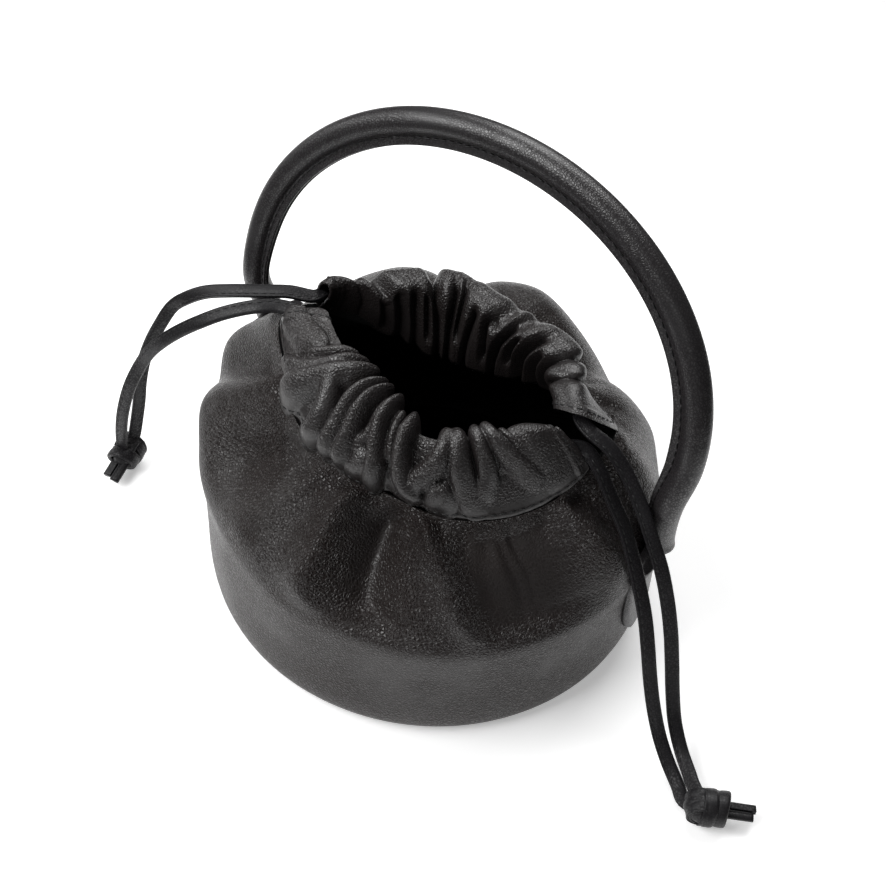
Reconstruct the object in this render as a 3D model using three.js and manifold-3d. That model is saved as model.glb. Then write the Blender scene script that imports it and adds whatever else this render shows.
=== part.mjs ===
// Leather handle pouch: a drawstring bag with a firm lower wall and a gathered mouth, a piped round
// handle sewn to two side tabs, and two pairs of flat laces that end in knots on the ground.
// Millimetres, +Z up, front towards -Y. The origin is the middle of the base panel's underside.
import * as THREE from 'three';
import { mergeVertices } from 'three/addons/utils/BufferGeometryUtils.js';
import Module from 'manifold-3d';

const wasm = await Module();
wasm.setup();

// Leather thicknesses, and the clearance between pieces that touch
const WALL = 1.6;
const HEM_SKIN = 1.1;
const CLEAR = 0.4;

// Pouch: an oval foot turned in over the base, a lower wall, a crease and the plan centre of the mouth
const FOOT = { halfX: 84, halfY: 80, turnIn: 9, corner: 3.5, lift: 0.2, cornerLift: 0.5 };
const LOWER_WALL = { halfX: 85.5, halfY: 79, z: 28 };
const CREASE = { halfX: 85.9, halfY: 75.6, z: 50 };
const MOUTH = { x: 9, y: 1 };
const BASE_PANEL = 2.4;

// Tunnel hem: its half thickness at the lip and at the stitched seam, how much of a pleat's depth
// each face takes, how far a pleat pulls the lip down per millimetre, the seam's clearance, and the
// powers that square the loop's outline
const PUFF = 6.4;
const SEAM_HALF = 2.1;
const PLEAT_SHARE = 0.75;
const LIP_DIP = 0.02;
const SEAM_GAP = 0.8;
const HEM_SQUARENESS = { height: 0.75, side: 0.8 };

// Piped handle: half of an oval loop that leans back and sits a little askew
const HANDLE = { halfSpan: 93.6, midZ: 99.7, rise: 80.2, drop: 80.3, lean: 17.3, roll: -11.3 };
const HANDLE_SWEEP = { left: -88, right: 112 };
const HANDLE_PIVOT_Z = 40;
const PIPE = { radius: 5, flange: 3, flangeHalf: 1.3 };
// Each end comes down straight onto its tab, and the flange runs out over the last share of the loop
const HANDLE_END = { gap: 1, lead: 4, stand: 5.15, flange: 0.6, fadeFrom: 0.02, fadeTo: 0.14 };

// Tabs: flat leather ears on the lower wall, thick at the top where they take the handle
const TAB = { angle: 11, halfAngle: 10, top: 60, bottom: 17, thick: 2.4, thickTop: 6.5 };
const TAB_SHAPE = { roundShare: 0.42, cornerCut: 0.6, thickenFrom: 0.55 };

// Laces and knots
const LACE = { width: 5, thick: 2.2 };

// Turns a line of column names and rows of numbers into a list of named rows
const table = (columns, rows) => {
  const names = columns.split(' ');
  return rows.map((row) => Object.fromEntries(names.map((name, i) => [name, row[i]])));
};

// Rim of the mouth: stitched seam (hem) and top edge (lip) round the mouth's centre
const RIM = table('angle hemR hemZ lipR lipZ', [
  [4, 56, 93, 42, 110],
  [22, 58, 95, 38, 111],
  [45, 42, 92, 41, 112],
  [65, 32, 91, 35, 114],
  [95, 27, 90, 30, 116],
  [120, 29, 90, 35, 118],
  [145, 34, 91, 38, 118],
  [165, 47, 95, 44, 116],
  [178, 62, 99, 55, 114],
  [191, 66, 102, 45, 113],
  [205, 59, 96, 38, 112.5],
  [218, 55, 91, 33, 112],
  [234, 50, 88, 29, 111.5],
  [252, 45, 86.5, 25, 111],
  [270, 41, 85.5, 24.5, 110.5],
  [290, 42.5, 85.5, 28, 110],
  [310, 47, 86, 31, 110],
  [330, 50, 86, 34, 109.5],
  [347, 53, 88, 39, 110],
]);

// Draped top of the pouch: how far the shoulder stands out from the crease, and the crown's place
// between the shoulder (1) and the seam (0)
const DRAPE = table('angle shoulderOut shoulderZ crownShare crownZ', [
  [0, 0, 64, 0.5, 83],
  [45, -2, 64, 0.62, 83],
  [90, -1, 65, 0.68, 88],
  [135, 0, 65, 0.66, 85],
  [180, 0, 66, 0.5, 86],
  [210, 0, 64, 0.5, 81],
  [240, -2, 60, 0.5, 74],
  [270, -4, 58, 0.5, 72],
  [300, -5, 58, 0.5, 71],
  [330, -4, 58, 0.5, 73],
]);

// Folds of the draped top, from the seam down to the crease: ridges rise and valleys sink
const FOLDS = table('hemAngle creaseAngle halfWidth height', [
  [203, 203, 6, -4],
  [232, 238, 16, -5],
  [256, 270, 9, 4],
  [273, 291, 9, -5],
  [294, 316, 8, 3.5],
  [337, 338, 20, -3.5],
  [354, 5, 9, -4.5],
  [42, 46, 10, 2],
  [60, 62, 9, -3],
  [90, 94, 15, 4],
  [114, 117, 7, -5],
  [135, 132, 14, 4],
  [165, 171, 10, -4.5],
]);

// Pleats of the two tunnel hems: valleys that run from the lip to the seam
const FRONT_PLEATS = table('lipAngle hemAngle halfWidth depth', [
  [211, 201, 5, 4.6],
  [226, 208, 5, 4.2],
  [240, 241, 5, 4.6],
  [258, 257, 5, 4.2],
  [277, 274, 5.5, 4.8],
  [307, 300, 5, 4.4],
  [321, 318, 4, 4.4],
  [333, 331, 4, 4],
  [344, 350, 5, 4.6],
]);
const BACK_PLEATS = table('lipAngle hemAngle halfWidth depth', [
  [29, 34, 5, 4.4],
  [43, 46, 4, 4.4],
  [56, 58, 4, 4.4],
  [74, 74, 5, 4.8],
  [92, 92, 5, 4.2],
  [108, 108, 5, 4.6],
  [122, 122, 4, 4],
  [134, 134, 4, 4.4],
  [146, 146, 4, 4.2],
  [157, 157, 4, 4.4],
  [167, 166, 4, 4],
]);
const CASINGS = [
  { name: 'casing_front', pleats: FRONT_PLEATS, lipFrom: 189, lipTo: 361, hemFrom: 190, hemTo: 364 },
  { name: 'casing_back', pleats: BACK_PLEATS, lipFrom: 9, lipTo: 179, hemFrom: 22, hemTo: 178 },
];

// Laces: each route leaves its tunnel, arches out and comes down to its knot
const LACES = {
  cord_left_a: [[-48.6, 4, 107], [-49.6, -0.6, 107.8], [-57.4, -4.6, 108.3], [-66.2, -9.4, 107],
    [-77, -13.7, 104], [-88, -16.8, 99], [-96, -19.3, 93], [-103.2, -20.6, 85], [-108.4, -23.4, 75],
    [-113.1, -26.1, 64], [-115.6, -28.6, 55], [-117.7, -30.7, 44], [-119, -32.4, 33],
    [-120.2, -34.5, 23], [-121, -36.8, 14.8]],
  cord_left_b: [[-57.3, -9.2, 105.4], [-64, -15, 104.9], [-73.6, -21.5, 101], [-81.7, -26.6, 95.5],
    [-90, -29.5, 88], [-97.5, -32, 80], [-104.4, -33.6, 71], [-110, -35.2, 61], [-113.8, -38.3, 51],
    [-116.9, -40.7, 40], [-119, -42.6, 29], [-121.2, -43.2, 15.1]],
  cord_right_a: [[56, 10.8, 103.8], [60, 10.8, 103.7], [68, 10.8, 100.9], [76, 10, 94.4], [84, 7.4, 86.8],
    [91.5, 4, 78.6], [98.5, 1.2, 69], [104, -1.4, 58], [108.4, -4, 47], [112.2, -7, 36],
    [116.2, -10.6, 25], [120.8, -14.4, 15], [127, -18.8, 8.4], [133.4, -23.6, 6.8], [138.4, -27.8, 7.2]],
  cord_right_b: [[59.4, 7.2, 100.2], [63, 6.8, 99.6], [69.4, 4.8, 94.8], [76, 3, 87], [82.8, 1.4, 78.5],
    [89, -1.6, 70], [94.6, -4.8, 62], [99.9, -8, 53], [104.6, -11.6, 43], [108.8, -15, 33],
    [113.6, -18.4, 23], [119.6, -21.6, 12.4], [126, -24.8, 6], [132.4, -28.4, 3.2], [137, -32, 3.4]],
};

// Knots: a fat wrapped barrel on the lace pair's axis, with two tails on its far side
const KNOTS = [
  { name: 'knot_left', centre: [-121.5, -42, 8], axis: [0.06, -0.96, -0.12], tailLength: 12 },
  { name: 'knot_right', centre: [145.5, -31.5, 7.2], axis: [0.83, 0.55, -0.06], tailLength: 14 },
];
const KNOT = { halfLength: 7, radius: 6.6, tailSpread: 0.12, tailOffset: 1.6, tailOut: 0.3 };

const MATTE_BLACK = { color: 0x1b1a1a, roughness: 0.55, metalness: 0 };
const SMOOTH_BLACK = { color: 0x161516, roughness: 0.45, metalness: 0 };

// How finely the soft pieces are faceted
const AROUND = 56;
const ROWS_PER_SPAN = 2;
const CASING_ROWS = 44;
const CASING_COLUMNS = 10;
const HANDLE_STEPS = 40;

const DEG = Math.PI / 180;
const lerp = THREE.MathUtils.lerp;
const vector = (x, y, z) => new THREE.Vector3(x, y, z);
const bell = (x) => Math.exp(-x * x);
const turnBetween = (a, b) => ((((a - b) % 360) + 540) % 360) - 180;
const signedPower = (x, power) => Math.sign(x) * Math.abs(x) ** power;

// Smooth value of one column of a table of rows in order of angle, round the full circle
function around(rows, column, angle) {
  const count = rows.length;
  const start = rows.findLastIndex((row) => row.angle <= ((angle % 360) + 360) % 360);
  const at = (i) => rows[(start + i + 2 * count) % count];
  const step = (i) => (((at(i + 1).angle - at(i).angle) % 360) + 360) % 360;
  const slope = (i) => (at(i + 1)[column] - at(i - 1)[column]) / (step(i) + step(i - 1));
  const t = ((((angle - at(0).angle) % 360) + 360) % 360) / step(0);
  const curve = (2 * t ** 3 - 3 * t ** 2 + 1) * at(0)[column] + (3 * t ** 2 - 2 * t ** 3) * at(1)[column];
  const lift = (t ** 3 - 2 * t ** 2 + t) * slope(0) + (t ** 3 - t ** 2) * slope(1);
  return curve + lift * step(0);
}

// Indexed geometry from points and triangles, turned so that its faces point out
function solidGeometry(points, triangles) {
  const p = (i) => points[i];
  const volume = triangles.reduce((sum, [a, b, c]) => sum + p(a).dot(p(b).clone().cross(p(c))), 0);
  const faces = volume < 0 ? triangles.map(([a, b, c]) => [a, c, b]) : triangles;
  const geometry = new THREE.BufferGeometry().setFromPoints(points);
  geometry.setIndex(faces.flat());
  return geometry;
}

// Triangles of a grid of rings; the rings are closed, and the last ring may join the first
function gridTriangles(ringCount, ringSize, joinEnds) {
  const triangles = [];
  const last = joinEnds ? ringCount : ringCount - 1;
  for (let i = 0; i < last; i += 1) {
    for (let j = 0; j < ringSize; j += 1) {
      const a = i * ringSize + j;
      const b = i * ringSize + ((j + 1) % ringSize);
      const c = ((i + 1) % ringCount) * ringSize + j;
      const d = ((i + 1) % ringCount) * ringSize + ((j + 1) % ringSize);
      triangles.push([a, b, d], [a, d, c]);
    }
  }
  return triangles;
}

// Hollow leather wall: the given rings are its outer face, and its inner face lies a thickness inside
function wallFromRings(rings, thickness, outwardAt) {
  const count = rings.length;
  const size = rings[0].length;
  const inner = rings.map((ring, i) => ring.map((point, j) => {
    const alongRows = rings[Math.min(i + 1, count - 1)][j].clone().sub(rings[Math.max(i - 1, 0)][j]);
    const alongRing = ring[(j + 1) % size].clone().sub(ring[(j + size - 1) % size]);
    const normal = alongRows.cross(alongRing).normalize();
    const sign = Math.sign(normal.dot(outwardAt(point, i)));
    return point.clone().addScaledVector(normal, -sign * thickness);
  }));
  const loop = [...rings, ...inner.reverse()];
  return solidGeometry(loop.flat(), gridTriangles(loop.length, size, true));
}

// Solid bar through a row of rings of an even size, closed at both ends by a strip of triangles
function barFromRings(rings) {
  const size = rings[0].length;
  const triangles = gridTriangles(rings.length, size, false);
  const capAt = (first, flip) => {
    for (let k = 0; k < size / 2 - 1; k += 1) {
      const [a, b, c, d] = [k, k + 1, size - 2 - k, size - 1 - k].map((i) => first + i);
      triangles.push(...(flip ? [[a, b, c], [a, c, d]] : [[a, c, b], [a, d, c]]));
    }
  };
  capAt(0, false);
  capAt((rings.length - 1) * size, true);
  return solidGeometry(rings.flat(), triangles);
}

// Point of the mouth's rim on its seam ('hem') or its top edge ('lip')
function rimPoint(angle, edge) {
  const radius = around(RIM, `${edge}R`, angle);
  const z = around(RIM, `${edge}Z`, angle);
  return vector(MOUTH.x + radius * Math.cos(angle * DEG), MOUTH.y + radius * Math.sin(angle * DEG), z);
}

const ovalPoint = (oval, angle, z, out = 0) =>
  vector((oval.halfX + out) * Math.cos(angle * DEG), (oval.halfY + out) * Math.sin(angle * DEG), z);

// One upright section of the pouch, from its turned-in edge under the foot to the seam of the mouth
function pouchSection(angle) {
  const seam = rimPoint(angle, 'hem');
  const shoulderZ = around(DRAPE, 'shoulderZ', angle);
  const shoulder = ovalPoint(CREASE, angle, shoulderZ, around(DRAPE, 'shoulderOut', angle));
  const crown = seam.clone().lerp(shoulder, around(DRAPE, 'crownShare', angle));
  crown.z = around(DRAPE, 'crownZ', angle);
  const seamEdge = seam.clone().addScaledVector(seam.clone().sub(crown).normalize(), -SEAM_GAP);
  return new THREE.CatmullRomCurve3([
    ovalPoint(FOOT, angle, FOOT.lift, -FOOT.turnIn),
    ovalPoint(FOOT, angle, FOOT.cornerLift, -FOOT.corner),
    ovalPoint(FOOT, angle, FOOT.corner + 1),
    ovalPoint(LOWER_WALL, angle, LOWER_WALL.z),
    ovalPoint(CREASE, angle, CREASE.z),
    shoulder,
    crown,
    seamEdge,
  ], false, 'centripetal');
}
const SECTION_SPANS = 7;
const CREASE_SPAN = 4;
const WALL_SPANS = { from: 2, to: 5 };

// Height of the folds at an angle, where rise goes from 0 at the crease to 1 at the seam; a fold is
// highest a little below half way
const FOLD_PEAK_POWER = 0.9;
function foldHeight(angle, rise) {
  const swell = Math.sin(Math.PI * rise ** FOLD_PEAK_POWER);
  return FOLDS.reduce((sum, fold) => {
    const middle = fold.creaseAngle + rise * turnBetween(fold.hemAngle, fold.creaseAngle);
    return sum + swell * fold.height * bell(turnBetween(angle, middle) / fold.halfWidth);
  }, 0);
}

function pouchBody() {
  const rows = SECTION_SPANS * ROWS_PER_SPAN;
  const sections = Array.from({ length: AROUND }, (_, j) => pouchSection((360 * j) / AROUND));
  const rings = Array.from({ length: rows + 1 }, (_, i) => sections.map((section, j) => {
    const angle = (360 * j) / AROUND;
    const rise = (i / ROWS_PER_SPAN - CREASE_SPAN) / (SECTION_SPANS - CREASE_SPAN);
    const point = section.getPoint(i / rows);
    if (rise <= 0) {
      return point;
    }
    const outward = vector(Math.cos(angle * DEG), Math.sin(angle * DEG), 2 * rise).normalize();
    return point.addScaledVector(outward, foldHeight(angle, rise));
  }));
  const middle = vector(0, 0, CREASE.z);
  return wallFromRings(rings, WALL, (point, i) => (i < 2 ? vector(0, 0, -1) : point.clone().sub(middle)));
}

// Base panel: an oval plate inside the turned-in foot
function basePanel() {
  const profile = [[0, 0], [1, 0], [1, 0.7], [0.985, 1], [0, 1]];
  const points = profile.map(([radius, height]) => new THREE.Vector2(radius, height * BASE_PANEL));
  const geometry = new THREE.LatheGeometry(points, AROUND).rotateX(Math.PI / 2);
  const inset = FOOT.turnIn + CLEAR;
  return geometry.scale(FOOT.halfX - inset, FOOT.halfY - inset, 1);
}

const pleatDepth = (pleats, angle, share) => pleats.reduce((sum, pleat) => {
  const middle = lerp(pleat.hemAngle, pleat.lipAngle, share);
  return sum + pleat.depth * bell(turnBetween(angle, middle) / pleat.halfWidth);
}, 0);

// One flattened loop of a tunnel hem: up the outer face from the seam, over the lip and down inside
function casingRing(casing, share) {
  const lipAngle = lerp(casing.lipFrom, casing.lipTo, share);
  const hemAngle = lerp(casing.hemFrom, casing.hemTo, share);
  const seam = rimPoint(hemAngle, 'hem');
  const up = rimPoint(lipAngle, 'lip').sub(seam);
  const middleAngle = lerp(lipAngle, hemAngle, 0.5) * DEG;
  const out = vector(Math.cos(middleAngle), Math.sin(middleAngle), 0);
  out.addScaledVector(up, -out.dot(up) / up.lengthSq()).normalize();
  return Array.from({ length: CASING_COLUMNS }, (_, k) => {
    const turn = (2 * Math.PI * (k + 0.5)) / CASING_COLUMNS;
    const height = 0.5 - 0.5 * signedPower(Math.cos(turn), HEM_SQUARENESS.height);
    const depth = pleatDepth(casing.pleats, lerp(hemAngle, lipAngle, height), height);
    const half = lerp(SEAM_HALF, PUFF, Math.sqrt(height)) - depth * PLEAT_SHARE * Math.sqrt(height);
    const side = signedPower(Math.sin(turn), HEM_SQUARENESS.side) * half;
    return seam.clone().addScaledVector(up, height * (1 - LIP_DIP * depth)).addScaledVector(out, side);
  });
}

function casing(half) {
  const rings = Array.from({ length: CASING_ROWS + 1 }, (_, i) => casingRing(half, i / CASING_ROWS));
  const middleOf = (ring) => ring.reduce((sum, p) => sum.add(p), vector(0, 0, 0)).divideScalar(ring.length);
  const centres = rings.map(middleOf);
  return wallFromRings(rings, HEM_SKIN, (point, i) => point.clone().sub(centres[i]));
}

// Point on the pouch's wall at a height between the foot and the shoulder, or a distance out from it
function wallPoint(angle, z, out) {
  const section = pouchSection(angle);
  let [low, high] = [WALL_SPANS.from / SECTION_SPANS, WALL_SPANS.to / SECTION_SPANS];
  for (let i = 0; i < 20; i += 1) {
    const middle = (low + high) / 2;
    [low, high] = section.getPoint(middle).z < z ? [middle, high] : [low, middle];
  }
  const outward = vector(Math.cos(angle * DEG), Math.sin(angle * DEG), 0);
  return section.getPoint(low).addScaledVector(outward, out);
}

const tabAngle = (side) => (side > 0 ? TAB.angle : 180 - TAB.angle);

// Tab: a flat ear with round lower corners that thickens to the pipe's width at its top
function tab(side) {
  const rows = 9;
  const columns = 6;
  const rings = Array.from({ length: rows + 1 }, (_, i) => {
    const share = i / rows;
    const z = lerp(TAB.bottom, TAB.top, share);
    const belowCorner = 1 - Math.min(1, share / TAB_SHAPE.roundShare);
    const half = TAB.halfAngle * Math.sqrt(1 - TAB_SHAPE.cornerCut * belowCorner ** 2);
    const thicken = THREE.MathUtils.smoothstep(share, TAB_SHAPE.thickenFrom, 1);
    const thick = lerp(TAB.thick, TAB.thickTop, thicken);
    const strip = (out) => Array.from({ length: columns + 1 }, (_, k) =>
      wallPoint(tabAngle(side) + half * ((2 * k) / columns - 1), z, out));
    return [...strip(CLEAR), ...strip(CLEAR + thick).reverse()];
  });
  return barFromRings(rings);
}

// Middle line of the handle: the oval loop, brought down at both ends onto the tabs
function handleCurve() {
  const count = 17;
  const roll = HANDLE.roll * DEG;
  const lean = HANDLE.lean * DEG;
  const loop = Array.from({ length: count }, (_, i) => {
    const turn = lerp(HANDLE_SWEEP.left, HANDLE_SWEEP.right, i / (count - 1)) * DEG;
    const height = Math.cos(turn) * (Math.cos(turn) > 0 ? HANDLE.rise : HANDLE.drop);
    const x = HANDLE.halfSpan * Math.sin(turn) * Math.cos(roll) + height * Math.sin(roll);
    const up = HANDLE.midZ - HANDLE.halfSpan * Math.sin(turn) * Math.sin(roll) + height * Math.cos(roll);
    const tall = up - HANDLE_PIVOT_Z;
    return vector(x, tall * Math.sin(lean), HANDLE_PIVOT_Z + tall * Math.cos(lean));
  });
  const endOn = (side, lift) => wallPoint(tabAngle(side), TAB.top + HANDLE_END.gap + lift, HANDLE_END.stand);
  const ends = [[endOn(-1, 0), endOn(-1, HANDLE_END.lead)], [endOn(1, HANDLE_END.lead), endOn(1, 0)]];
  return new THREE.CatmullRomCurve3([...ends[0], ...loop, ...ends[1]], false, 'centripetal');
}

// Section of the piped handle: a round pipe with its stitched flange towards the loop's middle
function pipeSection(flange) {
  const start = Math.asin(PIPE.flangeHalf / PIPE.radius);
  const sides = 8;
  const round = Array.from({ length: sides }, (_, k) => {
    const turn = lerp(start, 2 * Math.PI - start, k / (sides - 1));
    return [PIPE.radius * Math.cos(turn), PIPE.radius * Math.sin(turn)];
  });
  const edge = PIPE.radius + flange;
  return [[edge, PIPE.flangeHalf], ...round, [edge, -PIPE.flangeHalf]];
}

function handle() {
  const curve = handleCurve();
  const middle = vector(0, 0, HANDLE.midZ);
  const rings = Array.from({ length: HANDLE_STEPS + 1 }, (_, i) => {
    const centre = curve.getPointAt(i / HANDLE_STEPS);
    const tangent = curve.getTangentAt(i / HANDLE_STEPS);
    const inward = middle.clone().sub(centre);
    inward.addScaledVector(tangent, -inward.dot(tangent)).normalize();
    const across = tangent.clone().cross(inward);
    const fromEnd = Math.min(i, HANDLE_STEPS - i) / HANDLE_STEPS;
    const fade = THREE.MathUtils.smoothstep(fromEnd, HANDLE_END.fadeFrom, HANDLE_END.fadeTo);
    const section = pipeSection(lerp(HANDLE_END.flange, PIPE.flange, fade));
    return section.map(([a, b]) => centre.clone().addScaledVector(inward, a).addScaledVector(across, b));
  });
  return barFromRings(rings);
}

// Lace: a flat strip with rounded edges along its route
function lace(route) {
  const curve = new THREE.CatmullRomCurve3(route.map((p) => vector(...p)), false, 'centripetal');
  const halfThick = LACE.thick / 2;
  const halfWidth = LACE.width / 2;
  const outline = [[1, 0.7], [0.5, 1], [-0.5, 1], [-1, 0.7], [-1, -0.7], [-0.5, -1], [0.5, -1], [1, -0.7]];
  const shape = new THREE.Shape(outline.map(([a, b]) => new THREE.Vector2(a * halfThick, b * halfWidth)));
  const steps = 24;
  return new THREE.ExtrudeGeometry(shape, { steps, bevelEnabled: false, extrudePath: curve });
}

function manifoldOf(geometry) {
  const bare = geometry.clone();
  bare.deleteAttribute('normal');
  bare.deleteAttribute('uv');
  const merged = mergeVertices(bare, 1e-3);
  const vertProperties = Float32Array.from(merged.attributes.position.array);
  const triVerts = Uint32Array.from(merged.index.array);
  return new wasm.Manifold(new wasm.Mesh({ numProp: 3, vertProperties, triVerts }));
}

// Knot: a wrapped barrel with a waist, and two short tails out of its end
function knot({ centre, axis, tailLength }) {
  const profile = [[0, -1], [0.62, -0.95], [0.98, -0.62], [0.95, -0.3], [0.8, -0.06], [0.92, 0.2], [1, 0.55],
    [0.66, 0.95], [0, 1]];
  const points = profile.map(([r, h]) => new THREE.Vector2(r * KNOT.radius, h * KNOT.halfLength));
  const along = vector(...axis).normalize();
  const turn = new THREE.Quaternion().setFromUnitVectors(vector(0, 1, 0), along);
  let body = manifoldOf(new THREE.LatheGeometry(points, 14));
  for (const side of [-1, 1]) {
    const tail = new THREE.BoxGeometry(LACE.thick, tailLength, LACE.width);
    tail.rotateZ(-KNOT.tailSpread * side);
    tail.translate(side * KNOT.tailOffset, KNOT.halfLength + tailLength * KNOT.tailOut, 0);
    body = body.add(manifoldOf(tail));
  }
  const mesh = body.getMesh();
  const geometry = new THREE.BufferGeometry();
  geometry.setAttribute('position', new THREE.BufferAttribute(mesh.vertProperties, 3));
  geometry.setIndex(new THREE.BufferAttribute(mesh.triVerts, 1));
  return geometry.applyQuaternion(turn).translate(...centre);
}

const pouch = new THREE.Group();
function piece(name, geometry, finish) {
  const mesh = new THREE.Mesh(geometry, new THREE.MeshStandardMaterial(finish));
  mesh.name = name;
  pouch.add(mesh);
}

piece('base', basePanel(), MATTE_BLACK);
piece('pouch_body', pouchBody(), MATTE_BLACK);
CASINGS.forEach((half) => piece(half.name, casing(half), MATTE_BLACK));
piece('tab_left', tab(-1), SMOOTH_BLACK);
piece('tab_right', tab(1), SMOOTH_BLACK);
piece('handle', handle(), SMOOTH_BLACK);
Object.entries(LACES).forEach(([name, route]) => piece(name, lace(route), SMOOTH_BLACK));
KNOTS.forEach((each) => piece(each.name, knot(each), SMOOTH_BLACK));

export default pouch;
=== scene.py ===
# Leather handle pouch: a round drawstring bag of soft black goatskin that stands on a white table,
# with its mouth gathered open, a piped handle over it and a knotted pair of laces on each side.
# Sizes are in millimetres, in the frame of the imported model, and become metres when a mesh is made.
import math

import bpy
import numpy as np
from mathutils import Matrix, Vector, noise


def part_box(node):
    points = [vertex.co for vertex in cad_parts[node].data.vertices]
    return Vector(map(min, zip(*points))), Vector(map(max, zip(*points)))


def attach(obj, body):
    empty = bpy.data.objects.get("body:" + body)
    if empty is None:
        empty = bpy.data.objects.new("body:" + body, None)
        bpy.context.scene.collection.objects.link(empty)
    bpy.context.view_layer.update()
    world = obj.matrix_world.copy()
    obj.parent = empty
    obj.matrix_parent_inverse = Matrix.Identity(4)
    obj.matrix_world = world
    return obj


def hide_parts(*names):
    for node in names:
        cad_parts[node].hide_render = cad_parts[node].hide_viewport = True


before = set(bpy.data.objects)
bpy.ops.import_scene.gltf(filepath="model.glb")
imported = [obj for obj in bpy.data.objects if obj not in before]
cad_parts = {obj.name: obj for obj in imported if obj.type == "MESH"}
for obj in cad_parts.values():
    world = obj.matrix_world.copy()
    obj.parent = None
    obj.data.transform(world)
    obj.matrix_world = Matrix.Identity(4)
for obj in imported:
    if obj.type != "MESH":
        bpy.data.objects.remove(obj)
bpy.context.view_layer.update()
MM = 0.001


# The setting: a sheet of white paper under the pouch, lit through from below as on a light table. Two
# windows light it from the left and the front left, a softer light hangs overhead, a reflector fills
# from the front right, and the camera looks down from there.
CAMERA_PLACE = Vector((231.97, -287.70, 503.93))
CAMERA_TARGET = Vector((0.568, 8.48, 56))
CAMERA_LENS = 65.06
PAPER = {"half_width": 240, "near": -270, "far": 620, "glow": 0.34}
SOFT_LIGHTS = {
    "window": {"place": (-560, -720, 1080), "size": (900, 900), "watts": 17},
    "window_left": {"place": (-1250, -150, 640), "size": (700, 900), "watts": 4},
    "softbox_overhead": {"place": (-200, 600, 950), "size": (800, 800), "watts": 10},
    "reflector_right": {"place": (620, -760, 760), "size": (600, 600), "watts": 0.6},
}
ROOM_LIGHT = 0.1


def linear(code):
    """Linear RGBA of an sRGB hex colour."""
    parts = [int(code[i:i + 2], 16) / 255 for i in (1, 3, 5)]
    return [c / 12.92 if c <= 0.04045 else ((c + 0.055) / 1.055) ** 2.4 for c in parts] + [1]


def node(tree, kind, inputs=None, **fields):
    """Adds a node, or takes the one of that name, sets its fields, and sets or links its inputs."""
    made = tree.nodes.get(kind) or tree.nodes.new(kind)
    for field, value in fields.items():
        setattr(made, field, value)
    for socket, value in (inputs or {}).items():
        if isinstance(value, bpy.types.NodeSocket):
            tree.links.new(value, made.inputs[socket])
        else:
            made.inputs[socket].default_value = value
    return made


camera = bpy.data.objects.new("camera", bpy.data.cameras.new("camera"))
camera.data.sensor_width = 36
camera.data.lens = CAMERA_LENS
camera.data.clip_end = 20
camera.location = CAMERA_PLACE * MM
camera.rotation_euler = (CAMERA_TARGET - CAMERA_PLACE).to_track_quat("-Z", "Y").to_euler()
bpy.context.scene.collection.objects.link(camera)
bpy.context.scene.camera = camera

for name, light in SOFT_LIGHTS.items():
    lamp = bpy.data.lights.new(name, "AREA")
    lamp.shape = "RECTANGLE"
    lamp.size, lamp.size_y = (side * MM for side in light["size"])
    lamp.energy = light["watts"]
    hung = bpy.data.objects.new(name, lamp)
    hung.location = Vector(light["place"]) * MM
    towards = CAMERA_TARGET - Vector(light["place"])
    hung.rotation_euler = towards.to_track_quat("-Z", "Y").to_euler()
    bpy.context.scene.collection.objects.link(hung)

# The room is dim, so it shows dark in the leather; only the view past the paper's edges is white.
room = bpy.data.worlds.new("dim room")
room.use_nodes = True
seen = node(room.node_tree, "ShaderNodeLightPath").outputs["Is Camera Ray"]
brightness = node(room.node_tree, "ShaderNodeMapRange", {
    "Value": seen, "To Min": ROOM_LIGHT, "To Max": 1.0})
node(room.node_tree, "Background", {"Color": linear("#ffffff"), "Strength": brightness.outputs[0]})
bpy.context.scene.world = room
bpy.context.scene.view_settings.view_transform = "Standard"

# White paper, lit through: matt and even, so it takes no more than a faint soft shadow.
paper = bpy.data.materials.new("white paper, uncoated")
paper.use_nodes = True
node(paper.node_tree, "Principled BSDF", {
    "Base Color": linear("#fbfbfb"), "Roughness": 0.9, "Specular IOR Level": 0.1,
    "Emission Color": linear("#ffffff"), "Emission Strength": PAPER["glow"]})
away = (CAMERA_TARGET - CAMERA_PLACE).to_2d().normalized()
sheet = bpy.data.meshes.new("paper_sheet")
sheet.from_pydata(
    [((away.x * far + away.y * side) * MM, (away.y * far - away.x * side) * MM, 0)
     for far, side in ((PAPER["near"], -PAPER["half_width"]), (PAPER["near"], PAPER["half_width"]),
                       (PAPER["far"], PAPER["half_width"]), (PAPER["far"], -PAPER["half_width"]))],
    [], [(0, 1, 2, 3)])
sheet.materials.append(paper)
table = bpy.data.objects.new("paper_sheet", sheet)
bpy.context.scene.collection.objects.link(table)


# The drawstring: four free strands of flat lace, two from each side of the mouth. Each is a strip of
# thin leather folded double and sewn along its open edge, and each pair is tied in a knot at its end.
LACE_WIDTH = 5
LACE_THICK = 2.1
LACE_STEP = 1.1
LACE_TWIST = (0.1, 0.7)
FINE_STEPS = 40
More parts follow.
